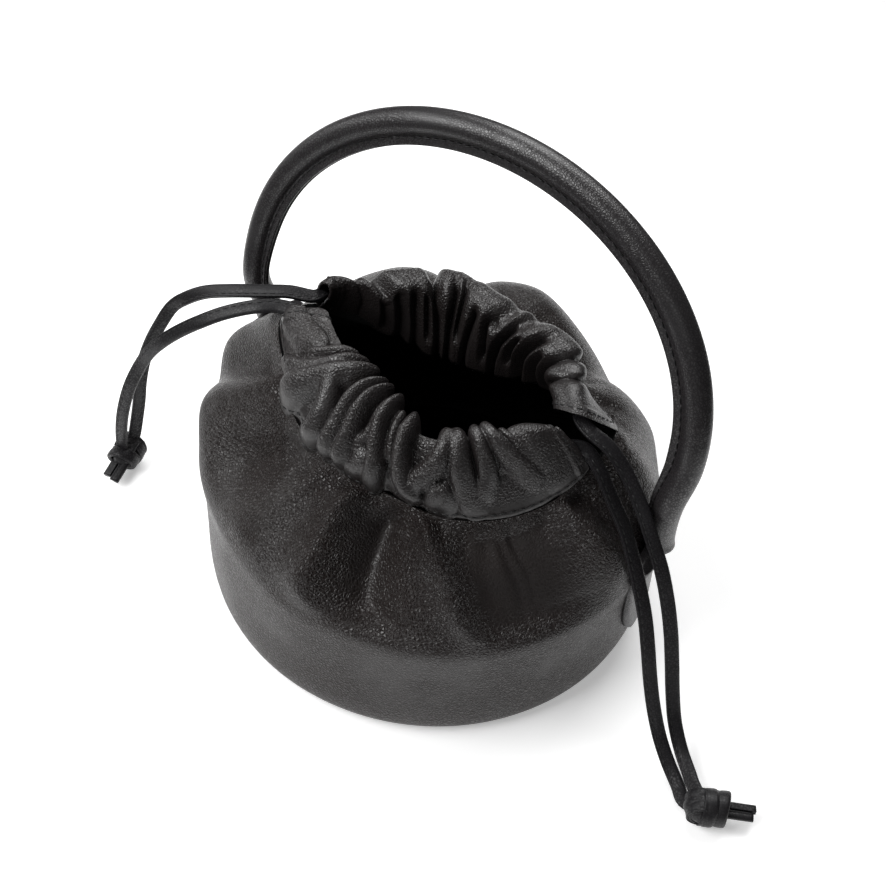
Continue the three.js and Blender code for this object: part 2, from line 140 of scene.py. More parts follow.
# Each route runs from inside its tunnel to inside its knot. A lace's flat side faces one way at its
# start and another at its end, and its sewn edge is on the side that open_edge gives.
LACES = {
    "cord_left_a": {
        "route": [(-48.6, 4, 107), (-49.6, -0.6, 107.8), (-57.4, -4.6, 108.3), (-66.2, -9.4, 107),
                  (-77, -13.7, 104), (-88, -16.8, 99), (-96, -19.3, 93), (-103.2, -20.6, 85),
                  (-108.4, -23.4, 75), (-113.1, -26.1, 64), (-115.6, -28.6, 55), (-117.7, -30.7, 44),
                  (-119, -32.4, 33), (-120.2, -34.5, 23), (-121, -36.8, 14.8), (-121.3, -40, 9)],
        "face": [(0, -0.3, 1), (0.75, -0.55, 0.3)], "open_edge": -1},
    "cord_left_b": {
        "route": [(-46, -11.3, 105.2), (-51, -8.4, 105.1), (-57.3, -10, 105.2), (-64, -15, 104.9),
                  (-73.6, -21.5, 101), (-81.7, -26.6, 95.5), (-90, -29.5, 88), (-97.5, -32, 80),
                  (-104.4, -33.6, 71), (-110, -35.2, 61), (-113.8, -38.3, 51), (-116.9, -40.7, 40),
                  (-119, -42.6, 29), (-121.2, -43.2, 15.1), (-121.4, -42.8, 9)],
        "face": [(0.1, -0.5, 1), (0.2, -0.95, 0.25)], "open_edge": 1},
    "cord_right_a": {
        "route": [(51.5, 18, 103.6), (54.5, 13.4, 103.9), (60, 10.8, 103.7), (68, 10.8, 100.9),
                  (76, 10, 94.4), (84, 7.4, 86.8), (91.5, 4, 78.6), (98.5, 1.2, 69), (104, -1.4, 58),
                  (108.4, -4, 47), (112.2, -7, 36), (116.2, -10.6, 25), (120.8, -14.4, 15),
                  (127, -18.8, 8.4), (133.4, -23.6, 6.8), (138.4, -27.8, 7.2), (143.6, -30.8, 8)],
        "face": [(0.3, -0.4, 1), (0.5, -0.55, 0.65)], "open_edge": 1},
    "cord_right_b": {
        "route": [(53.8, -1.2, 100.8), (57, 3, 100.8), (62.2, 6.2, 99.6), (69.4, 4.8, 94.8), (76, 3, 87),
                  (82.8, 1.4, 78.5), (89, -1.6, 70), (94.6, -4.8, 62), (99.9, -8, 53),
                  (104.6, -11.6, 43), (108.8, -15, 33), (113.6, -18.4, 23), (119.6, -21.6, 12.4),
                  (126, -24.8, 6), (132.4, -28.4, 3.2), (137, -32, 3.4), (142.4, -33, 5.6)],
        "face": [(0.9, -0.1, 0.5), (0.45, -0.6, 0.6)], "open_edge": 1},
}
# Half of a lace's cut, across its width and its thickness: round at the fold, pinched at the seam,
# and two raw layers at the open edge.
LACE_CUT = [(-1, 0), (-0.96, 0.5), (-0.82, 0.88), (-0.5, 1), (0, 0.97), (0.36, 0.9), (0.56, 0.74),
            (0.72, 0.84), (0.94, 0.82), (1, 0.7), (1, 0.2), (0.86, 0.05)]
LACE_SEAM = LACE_CUT[6]
STITCH = {"pitch": 3.2, "length": 2.5, "thick": 0.55, "lift": 0.1, "sink": 0.15, "near": 0.6, "sides": 6}


def unit(vectors):
    """The same directions at a length of one."""
    return vectors / np.maximum(np.linalg.norm(vectors, axis=-1, keepdims=True), 1e-9)


def smooth_step(x, low=0.0, high=1.0):
    """0 below low, 1 above high, and an even S between them."""
    t = np.clip((np.asarray(x, float) - low) / (high - low), 0, 1)
    return t * t * (3 - 2 * t)


def spline(points, place):
    """Point of a centripetal spline through the given points; place counts them from 0."""
    points = np.asarray(points, float)
    i = min(int(place), len(points) - 2)
    t = place - i
    b, c = points[i], points[i + 1]
    a = points[i - 1] if i > 0 else 2 * b - c
    d = points[i + 2] if i + 2 < len(points) else 2 * c - b
    ab, bc, cd = (np.sqrt(np.maximum(np.linalg.norm(q - p, axis=-1, keepdims=True), 1e-6))
                  for p, q in ((a, b), (b, c), (c, d)))
    start = ((b - a) / ab - (c - a) / (ab + bc) + (c - b) / bc) * bc
    end = ((c - b) / bc - (d - b) / (bc + cd) + (d - c) / cd) * bc
    square, cube = 3 * (c - b) - 2 * start - end, 2 * (b - c) + start + end
    return b + start * t + square * t ** 2 + cube * t ** 3


def run_along(line):
    """Distance along a line from its start to each of its points."""
    return np.concatenate([[0], np.cumsum(np.linalg.norm(np.diff(line, axis=0), axis=1))])


def read_at(places, run, values):
    """Values that are given along a run, such as a line's points, read at other places on it."""
    return np.stack([np.interp(places, run, values[:, k]) for k in range(3)], axis=-1)


def even_line(points, step):
    """Points a step apart along the spline through the given points, both ends included."""
    places = np.linspace(0, len(points) - 1, FINE_STEPS * len(points))
    return even_steps(np.array([spline(points, p) for p in places]), step)


def even_steps(line, step):
    """A line's points set an even step apart, both ends kept."""
    run = run_along(line)
    return read_at(np.linspace(0, run[-1], max(3, round(run[-1] / step) + 1)), run, line)


def grid_faces(rows, columns, join_rows=False, join_columns=True, first=0):
    """Quads of a grid of points, kept row by row; either way round it may close on itself."""
    i, j = np.meshgrid(np.arange(rows if join_rows else rows - 1),
                       np.arange(columns if join_columns else columns - 1), indexing="ij")
    i2, j2 = (i + 1) % rows, (j + 1) % columns
    quads = [i * columns + j, i * columns + j2, i2 * columns + j2, i2 * columns + j]
    return first + np.stack(quads, axis=-1).reshape(-1, 4)


def tube_faces(rows, columns):
    """Faces of a tube whose rings of points are kept one after the other, with both its ends closed."""
    last = (rows - 1) * columns
    ends = [tuple(range(columns))[::-1], tuple(range(last, last + columns))]
    return [*map(tuple, grid_faces(rows, columns)), *ends]


def make_piece(name, parts):
    """One smooth mesh from parts, each with points in mm, faces, and one material or one for each face.

    A part may add how strongly the leather's grain stands up at its points."""
    points, faces, slots, materials, grain = [], [], [], [], []
    count = 0
    for spots, quads, finish, *stand in parts:
        spots = np.asarray(spots, float)
        quads = [tuple(q) for q in quads]
        fan = np.array([(q[0], q[k], q[k + 1]) for q in quads for k in range(1, len(q) - 1)])
        a, b, c = (spots[fan[:, k]] for k in range(3))
        if np.einsum("ij,ij->", a - spots.mean(axis=0), np.cross(b - a, c - a)) < 0:
            quads = [q[::-1] for q in quads]
        finishes = finish if isinstance(finish, list) else [finish] * len(quads)
        for material in finishes:
            if material not in materials:
                materials.append(material)
        points.append(spots)
        faces += [tuple(int(v) + count for v in q) for q in quads]
        slots += [materials.index(material) for material in finishes]
        grain.append(np.broadcast_to(stand[0] if stand else 1.0, len(spots)))
        count += len(spots)
    mesh = bpy.data.meshes.new(name)
    mesh.from_pydata((np.concatenate(points) * MM).tolist(), [], faces)
    for material in materials:
        mesh.materials.append(material)
    mesh.polygons.foreach_set("material_index", slots)
    mesh.polygons.foreach_set("use_smooth", [True] * len(faces))
    mesh.attributes.new("grain", "FLOAT", "POINT").data.foreach_set("value", np.concatenate(grain))
    mesh.update()
    piece = bpy.data.objects.new(name, mesh)
    bpy.context.scene.collection.objects.link(piece)
    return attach(piece, "root")


def stitches(line, normals, thread):
    """A row of saddle stitches along a line: short beads of thread that dip in at both ends."""
    run = run_along(line)
    count = max(1, int(run[-1] / STITCH["pitch"]))
    middles = (np.arange(count) + 0.5) * run[-1] / count
    up = unit(read_at(middles, run, normals))
    along = unit(read_at(middles + STITCH["near"], run, line) - read_at(middles - STITCH["near"], run, line))
    side = unit(np.cross(up, along))
    parts = []
    turn = np.linspace(0, 2 * np.pi, STITCH["sides"], endpoint=False)
    shares = np.array([-1, -0.8, -0.35, 0.35, 0.8, 1])
    girth = np.array([0.15, 0.7, 1, 1, 0.7, 0.15]) * STITCH["thick"] / 2
    for k in range(count):
        middle = read_at(middles[k], run, line) + up[k] * STITCH["lift"]
        rings = (middle + shares[:, None] * along[k] * STITCH["length"] / 2)[:, None, :]
        rings = rings - (shares ** 2)[:, None, None] * up[k] * (STITCH["lift"] + STITCH["sink"])
        around_thread = np.cos(turn)[:, None] * side[k] + np.sin(turn)[:, None] * up[k]
        beads = (rings + girth[:, None, None] * around_thread).reshape(-1, 3)
        parts.append((beads, tube_faces(len(shares), STITCH["sides"]), thread))
    return parts


def strap(line, faces_to, leather, open_edge=1, width=LACE_WIDTH, thick=LACE_THICK, closed=False):
    """A folded and sewn lace along a line, its flat side turned to the given directions."""
    along = np.gradient(line, axis=0)
    if closed:
        along = np.roll(line, -1, axis=0) - np.roll(line, 1, axis=0)
    along = unit(along)
    flat = unit(faces_to - np.sum(faces_to * along, axis=1, keepdims=True) * along)
    across = np.cross(along, flat) * open_edge
    half = np.array(LACE_CUT)
    cut = np.concatenate([half, (half * (1, -1))[-1:0:-1]]) * (width / 2, thick / 2)
    rings = line[:, None, :] + cut[None, :, :1] * across[:, None, :] + cut[None, :, 1:] * flat[:, None, :]
    size = (len(line), len(cut))
    quads = grid_faces(*size, join_rows=True) if closed else tube_faces(*size)
    seam = line + LACE_SEAM[0] * width / 2 * across + LACE_SEAM[1] * thick / 2 * flat
    return (rings.reshape(-1, 3), quads, leather), seam, flat


# Drummed goatskin: a soft full-grain skin, tumbled until its grain stands up in small pebbles. The
# pebbles glint where light grazes them, and lie flatter where the skin is pulled smooth. Real pebbles are
# 0.5 to 1 mm wide, and are drawn a little coarser so that they show. In shares of a pebble: how far the
# cells are bent and how often, the width and depth of the fine grain on them, the slope at an edge and
# the height of a top. The hollows between pebbles keep only a share of the polish. This is painted
# shade, for the light that the crevices block.
GRAIN = {"bend": 0.5, "wander": 0.45, "fine": 0.45, "fine_depth": 0.2, "slope": 0.3, "top": 0.9}
# Patches where the grain lies flatter, with the noise values that they start and end at
PATCH = {"size_mm": 26, "from": 0.3, "to": 0.62, "flattest": 0.35}
# Share of the polish that the hollows keep: painted shade of the crevices between pebbles
HOLLOW_SHADE_SHARE = 0.35
LEATHER_IOR = 1.48


def goatskin(name, deep, worn, pebble_mm, relief_mm, gloss, polish=0.5):
    """Leather of the given pebble width and relief; gloss is the roughness of pebble tops and hollows,
    and polish how strongly the tops reflect."""
    made = bpy.data.materials.new(name)
    made.use_nodes = True
    tree = made.node_tree
    pebble = pebble_mm * MM
    spot = node(tree, "ShaderNodeTexCoord").outputs["Object"]
    wander = node(tree, "ShaderNodeTexNoise", {
        "Vector": spot, "Scale": GRAIN["wander"] / pebble, "Detail": 2.0})
    shift = node(tree, "ShaderNodeVectorMath", {
        0: wander.outputs["Color"], 1: [0.5] * 3}, operation="SUBTRACT")
    bent = node(tree, "ShaderNodeVectorMath", {
        0: shift.outputs[0], 1: [GRAIN["bend"] * pebble * 2] * 3, 2: spot}, operation="MULTIPLY_ADD")
    cells = node(tree, "ShaderNodeTexVoronoi", {"Vector": bent.outputs[0], "Scale": 1 / pebble},
                 feature="DISTANCE_TO_EDGE")
    domes = node(tree, "ShaderNodeMapRange", {
        "Value": cells.outputs["Distance"], "From Max": GRAIN["slope"]}, interpolation_type="SMOOTHSTEP")
    fine = node(tree, "ShaderNodeTexVoronoi", {
        "Vector": bent.outputs[0], "Scale": 1 / (pebble * GRAIN["fine"])}, feature="SMOOTH_F1")
    patch = node(tree, "ShaderNodeTexNoise", {
        "Vector": spot, "Scale": 1 / (PATCH["size_mm"] * MM), "Detail": 3.0})
    raised = node(tree, "ShaderNodeMapRange", {
        "Value": patch.outputs["Fac"], "From Min": PATCH["from"], "From Max": PATCH["to"],
        "To Min": PATCH["flattest"]}, interpolation_type="SMOOTHSTEP")
    stand = node(tree, "ShaderNodeAttribute", attribute_name="grain")
    strength = node(tree, "ShaderNodeMath", {
        0: raised.outputs[0], 1: stand.outputs["Fac"]}, operation="MULTIPLY")
    grain = node(tree, "ShaderNodeMath", {
        0: fine.outputs["Distance"], 1: -GRAIN["fine_depth"], 2: domes.outputs[0]},
        operation="MULTIPLY_ADD")
    height = node(tree, "ShaderNodeMath", {
        0: grain.outputs[0], 1: strength.outputs[0]}, operation="MULTIPLY")
    relief = node(tree, "ShaderNodeBump", {
        "Height": height.outputs[0], "Distance": relief_mm * MM, "Strength": 1.0})
    shine = node(tree, "ShaderNodeMapRange", {
        "Value": grain.outputs[0], "From Min": -GRAIN["fine_depth"], "From Max": GRAIN["top"],
        "To Min": gloss[1], "To Max": gloss[0]})
    # Less reflection down in the hollows between pebbles: painted shade, for the light that the crevices
    # block
    hollow = node(tree, "ShaderNodeMath", {
        0: strength.outputs[0], 1: height.outputs[0]}, operation="SUBTRACT")
    polish_with_hollow_shade = node(tree, "ShaderNodeMapRange", {
        "Value": hollow.outputs[0], "To Min": polish, "To Max": HOLLOW_SHADE_SHARE * polish})
    colour = node(tree, "ShaderNodeMix", {
        "Factor": patch.outputs["Fac"], "A": linear(deep), "B": linear(worn)}, data_type="RGBA")
    node(tree, "Principled BSDF", {
        "Base Color": colour.outputs["Result"], "Roughness": shine.outputs[0], "IOR": LEATHER_IOR,
        "Specular IOR Level": polish_with_hollow_shade.outputs[0], "Normal": relief.outputs[0]})
    return made


# Lace leather: the same skin pared thin, its grain pressed almost flat, so it has only a dull sheen.
lace_leather = goatskin(
    "goatskin lace, skived and folded", "#121214", "#1d1b1d", 1.0, 0.04, (0.4, 0.5), 0.4)

# Twisted thread: slanting plies that catch a small glint. Real ones are about 0.25 mm wide, and are drawn
# twice as wide so that they show. The slanting wave turns 10 times the sum of its three coordinates.
PLY = {"width_mm": 0.5, "depth_mm": 0.06, "turn": 10 * math.sqrt(3)}
thread = bpy.data.materials.new("waxed polyester thread, twisted")
thread.use_nodes = True
ply = node(thread.node_tree, "ShaderNodeTexWave", {
    "Vector": node(thread.node_tree, "ShaderNodeTexCoord").outputs["Object"],
    "Scale": 2 * math.pi / (PLY["turn"] * PLY["width_mm"] * MM)}, bands_direction="DIAGONAL")
ply_bump = node(thread.node_tree, "ShaderNodeBump", {
    "Height": ply.outputs["Fac"], "Distance": PLY["depth_mm"] * MM, "Strength": 0.6})
node(thread.node_tree, "Principled BSDF", {
    "Base Color": linear("#0b0b0c"), "Roughness": 0.55, "Normal": ply_bump.outputs[0]})

for name, lace in LACES.items():
    line = even_line(lace["route"], LACE_STEP)
    share = smooth_step(np.linspace(0, 1, len(line)), *LACE_TWIST)[:, None]
    faces_to = np.array(lace["face"][0]) * (1 - share) + np.array(lace["face"][1]) * share
    body, seam, flat = strap(line, faces_to, lace_leather, lace["open_edge"])
    make_piece(name + "_lace", [body, *stitches(seam, flat, thread)])
    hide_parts(name)
    lace["line"] = line


# The knots: each pair of laces is tied in one overhand knot, so that it can't slip back into its
# tunnel. Bights fold over the knot's near end, wraps go round it, and two cut tails stick out.
KNOTS = {
    "knot_left": {
        "centre": (-121.5, -42, 7.6), "axis": (0.2, -0.95, -0.12), "tail": 9.5, "tail_width": 3.7,
        "core": (6.4, 5), "wraps": [(-3, 5.3, 0.2), (2.4, 5.1, -0.16)],
        "bights": [(-2.4, 4.7), (2.6, 4.9)]},
    "knot_right": {
        "centre": (145.5, -31.5, 7.1), "axis": (0.84, 0.54, -0.06), "tail": 13.5, "tail_width": 3,
        "core": (7.9, 5.7), "wraps": [(0.2, 5.6, 0.14), (4.8, 5.3, -0.16)],
        "bights": [(-2.2, 4.7), (2.4, 4.9)]},
}
BIGHT = {"turn": 2.0, "back": 1.2, "pull": 0.4, "bulge": 0.15, "narrow": 0.84}
TAIL = {"from": 3, "apart": 0.52, "uneven": 0.5, "drop": 0.9, "tilt": 0.25}
WRAP_POINTS = 48
BIGHT_POINTS = 30
CORE_RINGS = 14
CORE_POLE = 0.02

for name, knot in KNOTS.items():
    centre = np.array(knot["centre"], float)
    axis = unit(np.array(knot["axis"], float))
    side = unit(np.cross((0, 0, 1), axis))
    rise = np.cross(axis, side)
    turn = np.linspace(0, 2 * np.pi, WRAP_POINTS, endpoint=False)
    parts = []
    for offset, radius, tilt in knot["wraps"]:
        out = np.cos(turn)[:, None] * side + np.sin(turn)[:, None] * rise
        slip = offset + tilt * radius * np.sin(turn + offset)
        parts.append(strap(centre + radius * out + slip[:, None] * axis, out, lace_leather, closed=True)[0])
    for offset, radius in knot["bights"]:
        bend = np.linspace(-BIGHT["turn"], BIGHT["turn"], BIGHT_POINTS)
        out = -np.cos(bend)[:, None] * axis + np.sin(bend)[:, None] * rise
        reach = (radius - BIGHT["pull"]) * (1 + BIGHT["bulge"] * np.cos(bend))[:, None]
        line = centre + offset * side - BIGHT["back"] * axis + out * reach
        parts.append(strap(line, out, lace_leather, width=LACE_WIDTH * BIGHT["narrow"])[0])
    for each in (-1, 1):
        start = centre + axis * TAIL["from"] + side * each * knot["tail_width"] * TAIL["apart"]
        end = start + axis * (knot["tail"] + each * TAIL["uneven"]) - rise * TAIL["drop"]
        line = even_steps(np.array([start, end]), LACE_STEP)
        faces_to = np.tile(rise + side * each * TAIL["tilt"], (len(line), 1))
        parts.append(strap(line, faces_to, lace_leather, each, knot["tail_width"])[0])
    polar = np.linspace(CORE_POLE, np.pi - CORE_POLE, CORE_RINGS)[:, None, None]
    ring = (np.cos(turn)[:, None] * side + np.sin(turn)[:, None] * rise)[None]
    core = centre - np.cos(polar) * knot["core"][0] * axis + np.sin(polar) * knot["core"][1] * ring
    parts.append((core.reshape(-1, 3), tube_faces(CORE_RINGS, WRAP_POINTS), lace_leather))
    knot["piece"] = make_piece(name + "_tied", parts)
    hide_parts(name)


# The base panel: a firm oval plate of the same skin under the pouch, inside its turned-in foot, with
# the skin's flesh side upwards.
WALL = 1.6
FOOT = {"half": (84, 80), "turn_in": 9, "corner": 3.5, "lift": 0.2, "corner_lift": 0.5}
BASE_AROUND = 120
BASE_ROUNDING = 0.5
# The wall's skin at its full grain: pebbles that catch the light one by one over a deep, dull black.
body_leather = goatskin(
    "goatskin, drummed to a pebbled grain", "#151212", "#261f1d", 1.2, 0.46, (0.29, 0.45), 0.56)

# Flesh side of the skin, dyed through, with a short brushed nap. Its colour is set near black, darker
# than the grain side: partly its dye, partly painted shade for the dim inside of the pouch.
NAP = {"size_mm": 0.3, "depth_mm": 0.3}
dark_shaded_flesh_side = bpy.data.materials.new("goatskin flesh side, dyed, darkened as painted inside shade")
dark_shaded_flesh_side.use_nodes = True
nap = node(dark_shaded_flesh_side.node_tree, "ShaderNodeTexNoise", {
    "Vector": node(dark_shaded_flesh_side.node_tree, "ShaderNodeTexCoord").outputs["Object"],
    "Scale": 1 / (NAP["size_mm"] * MM), "Detail": 4.0})
# Near-black nap colour: the dye, darkened further as painted shade of the pouch's inside
nap_colour_and_shade = node(dark_shaded_flesh_side.node_tree, "ShaderNodeMix", {
    "Factor": nap.outputs["Fac"], "A": linear("#040404"), "B": linear("#0a0a0a")}, data_type="RGBA")
nap_bump = node(dark_shaded_flesh_side.node_tree, "ShaderNodeBump", {
    "Height": nap.outputs["Fac"], "Distance": NAP["depth_mm"] * MM})
node(dark_shaded_flesh_side.node_tree, "Principled BSDF", {
    "Base Color": nap_colour_and_shade.outputs["Result"], "Roughness": 0.95, "Specular IOR Level": 0.12,
    "Normal": nap_bump.outputs[0]})


def oval_point(half, angle, z, out=0.0):
    """Points of an upright oval wall, or of one a distance outside it."""
    turn = np.radians(angle)
    return np.stack([(half[0] + out) * np.cos(turn), (half[1] + out) * np.sin(turn),
                     np.broadcast_to(z, np.shape(turn))], axis=-1)


base_angles = np.arange(BASE_AROUND) * 360 / BASE_AROUND
base_low, base_high = (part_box("base")[k][2] / MM for k in (0, 1))
base_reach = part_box("base")[1][0] / MM - FOOT["half"][0]
# The plate's rings from the middle of its underside round its edge to the middle of its top, by height
# and by distance from the edge
underside = [(base_low, 70), (base_low, 35), (base_low, BASE_ROUNDING), (base_low + BASE_ROUNDING, 0)]
topside = [(base_high - BASE_ROUNDING, 0), (base_high, BASE_ROUNDING), (base_high, 35), (base_high, 70)]
base_rings = [oval_point(FOOT["half"], base_angles, z, base_reach - inset)
              for z, inset in underside + topside]
base_finish = [body_leather] * (3 * BASE_AROUND) + [dark_shaded_flesh_side] * (4 * BASE_AROUND)
base_finish += [body_leather, dark_shaded_flesh_side]
base = make_piece("base_plate", [
    (np.concatenate(base_rings), tube_faces(len(base_rings), BASE_AROUND), base_finish)])
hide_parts("base")


# The pouch: one panel of drummed goatskin, turned in under the foot and sewn to the base. A firm
# lower wall meets a softly creased edge, and above it the skin drapes in folds up to the gathered mouth.
LOWER_WALL = {"half": (85.5, 79), "z": 28}
CREASE = {"half": (85.9, 75.6), "z": 50}
MOUTH = (9, 1)
BODY_AROUND = 480
SPAN_ROWS = [2, 3, 7, 8, 14, 30, 30]
FOOT_ROWS = 4
CREASE_SPAN = 4
INNER_ROW_STEP = 4
INNER_GAP = 1.6


def columns(names, rows):
    """A table's columns by name."""
    return dict(zip(names.split(), np.array(rows, float).T))


# The mouth's rim round its middle: the sewn seam (hem) and the top edge (lip)
RIM = columns("angle hem_r hem_z lip_r lip_z", [
    (4, 56, 93, 42, 110), (22, 58, 95, 38, 111), (45, 42, 92, 41, 112), (65, 32, 91, 35, 114),
    (95, 27, 90, 30, 116), (120, 29, 90, 35, 118), (145, 34, 91, 38, 118), (165, 47, 95, 44, 116),
    (178, 62, 99, 54, 114), (191, 66, 102, 43.5, 113), (205, 59, 96, 34.5, 112.5), (218, 55, 91, 29.5, 112),
    (234, 50, 88, 26, 111.5), (252, 45, 86.5, 24, 111), (270, 41, 85.5, 25, 110.5),
    (290, 42.5, 85.5, 28.5, 110), (310, 47, 86, 30, 110.5), (330, 50, 86, 31.5, 112), (347, 53, 88, 37, 112)])
# The draped top: how far the shoulder stands out from the crease, and the crown's place between
# the seam (0) and the shoulder (1)
DRAPE = columns("angle shoulder_out shoulder_z crown_share crown_z", [
    (0, 0, 64, 0.5, 83), (45, -2, 64, 0.62, 83), (90, -1, 65, 0.68, 88), (135, 0, 65, 0.66, 85),
    (180, 0, 66, 0.5, 86), (210, 0, 64, 0.5, 81), (240, -2, 60, 0.5, 74), (270, -4, 58, 0.5, 72),
    (300, -5, 58, 0.5, 71), (330, -4, 58, 0.5, 73)])
# Folds between the seam (rise 1) and the crease (rise 0): the angles that each passes at its rises, its
# reach to either side in degrees, its height in mm (a valley's is negative), and what it adds to the grain
FOLDS = [dict(zip(("angles", "rises", "reach", "height", "grain"), fold)) for fold in (
    ((203, 200, 198, 198), (1, 0.8, 0.5, 0.15), (5, 6), -4, 0),
    ((214, 211, 209), (1, 0.8, 0.4), (7, 7), 2, 0.2),
    ((233, 231, 229, 231), (1, 0.85, 0.6, 0.3), (10, 11), -7, 0),
    ((253, 251, 250), (1, 0.8, 0.4), (6, 6), 1.6, 0.15),
    ((269, 267, 268, 271, 275), (1, 0.87, 0.75, 0.55, 0.2), (7, 5), 7, 0.2),
    ((284, 282, 284, 287, 291), (1, 0.83, 0.62, 0.4, 0.15), (6, 7), -7.5, -0.6),
    ((298, 303, 308, 311.5, 315), (1, 0.8, 0.63, 0.43, 0.2), (4, 6), 6, 0.5),
    ((318, 320, 322), (1, 0.7, 0.4), (8, 8), -1.6, -0.7),
    ((325, 327, 330), (1, 0.8, 0.55), (1.6, 1.6), -0.8, 0),
    ((329.5, 331, 333.5), (1, 0.8, 0.6), (1.4, 1.4), -0.6, 0),
    ((337, 338), (1, 0.1), (15, 15), -2.6, -0.7),
    ((349, 351, 354.5, 357), (1, 0.75, 0.5, 0.25), (5, 4), 3, 0),
    ((357, 359, 362, 365), (1, 0.85, 0.65, 0.35), (5, 7), -5.5, 0),
    ((16, 18, 22), (1, 0.6, 0.2), (7, 7), 2, 0),
    ((42, 46), (1, 0.1), (9, 9), 2.5, 0),
    ((60, 62), (1, 0.1), (6, 8), -4, 0),
    ((90, 94), (1, 0.1), (14, 14), 4.5, 0),
    ((114, 117), (1, 0.1), (6, 6), -6, 0),
    ((135, 132), (1, 0.1), (13, 13), 4.5, 0),
    ((152, 154), (1, 0.2), (5, 6), -2.5, 0),
    ((166, 171), (1, 0.1), (9, 8), -4.5, 0),
    ((186, 187), (1, 0.1), (6, 6), 2.5, 0),
)]
# Short creases that the gathers press into the skin just under the seam
SEAM_CREASES = [205, 214, 223, 243, 254, 261, 274, 286, 305, 314, 322, 331, 343, 355,
                30, 38, 51, 66, 82, 100, 108, 122, 129, 141, 148, 158, 170]
SEAM_CREASE = {"reach": 2.6, "depth": 0.8, "rises": (0.62, 0.93), "seam": 0.05}
# A fold swells from the crease over its lower share, fades out under the seam, is this round across, and
# lifts the skin the more upwards the nearer it is to the seam
FOLD_SWELL = {"least": 0.3, "past_end": 0.25, "seam": 0.14, "round": 1.8, "upwards": 2}
# Slack of the skin, the raised edge along the crease, and the crumpled skin on one of the folds
SLACK = {"size_mm": 34, "height": 1.1, "seed": 3, "from_z": (2, 25), "seam": 0.1}
EDGE = {"height": 1.5, "reach": 5, "round": 2.6}
CRUMPLE = {"size_mm": 5.5, "height": 0.8, "seed": 7, "fold": 6}
# The grain on the lower wall and what the drape adds to it, and the least and most that it comes to
WALL_GRAIN = {"lower": 0.6, "drape": 0.3, "rises": (0.02, 0.2), "limits": (0.15, 2)}


def around(table, column, angle):
    """Smooth value of a table's column at any angle, right round the circle."""
    at = np.concatenate([table["angle"] - 360, table["angle"], table["angle"] + 360])
    value = np.tile(table[column], 3)
    slope = np.zeros_like(value)
    slope[1:-1] = (value[2:] - value[:-2]) / (at[2:] - at[:-2])
    angle = np.asarray(angle, float) % 360
    i = np.searchsorted(at, angle, side="right") - 1
    step = at[i + 1] - at[i]
    t = (angle - at[i]) / step
    curve = (2 * t ** 3 - 3 * t ** 2 + 1) * value[i] + (3 * t ** 2 - 2 * t ** 3) * value[i + 1]
    return curve + ((t ** 3 - 2 * t ** 2 + t) * slope[i] + (t ** 3 - t ** 2) * slope[i + 1]) * step


def turn_between(a, b):
    """Degrees from angle b to angle a, the short way round."""
    return (a - b + 180) % 360 - 180


def rim_point(angle, edge):
    """Points of the mouth's rim on its 'hem' or its 'lip'."""
    radius = around(RIM, edge + "_r", angle)
    turn = np.radians(angle)
    return np.stack([MOUTH[0] + radius * np.cos(turn), MOUTH[1] + radius * np.sin(turn),
                     around(RIM, edge + "_z", angle)], axis=-1)


def pouch_sections(angle):
    """Guide points of the pouch's upright sections, from under the foot up to the seam of the mouth."""
    seam = rim_point(angle, "hem")
    shoulder = oval_point(CREASE["half"], angle, around(DRAPE, "shoulder_z", angle),
                          around(DRAPE, "shoulder_out", angle))
    share = around(DRAPE, "crown_share", angle)[..., None]
    crown = seam * (1 - share) + shoulder * share
    crown[..., 2] = around(DRAPE, "crown_z", angle)
    return np.stack([
        oval_point(FOOT["half"], angle, FOOT["lift"], -FOOT["turn_in"]),
        oval_point(FOOT["half"], angle, FOOT["corner_lift"], -FOOT["corner"]),
        oval_point(FOOT["half"], angle, FOOT["corner"] + 1),
        oval_point(LOWER_WALL["half"], angle, LOWER_WALL["z"]),
        oval_point(CREASE["half"], angle, CREASE["z"]), shoulder, crown, seam])


def fold_share(fold, angle, rise):
    """How much of a fold's height is reached at a place, from 0 to 1."""
    middle = np.interp(rise, fold["rises"][::-1], fold["angles"][::-1])
    off = turn_between(angle, middle)
    reach = np.where(off < 0, *fold["reach"])
    swollen = max(FOLD_SWELL["least"], fold["rises"][-1] + FOLD_SWELL["past_end"])
    swell = smooth_step(rise, 0, swollen) * smooth_step(1 - rise, 0, FOLD_SWELL["seam"])
    return swell * np.exp(-np.abs(off / reach) ** FOLD_SWELL["round"])


def bumps(points, size_mm, seed):
    """Smooth noise of about -1 to 1 at points, with lumps of the given size."""
    at = np.asarray(points).reshape(-1, 3) / size_mm + seed
    return np.array([noise.noise(Vector(p)) for p in at]).reshape(np.shape(points)[:-1])


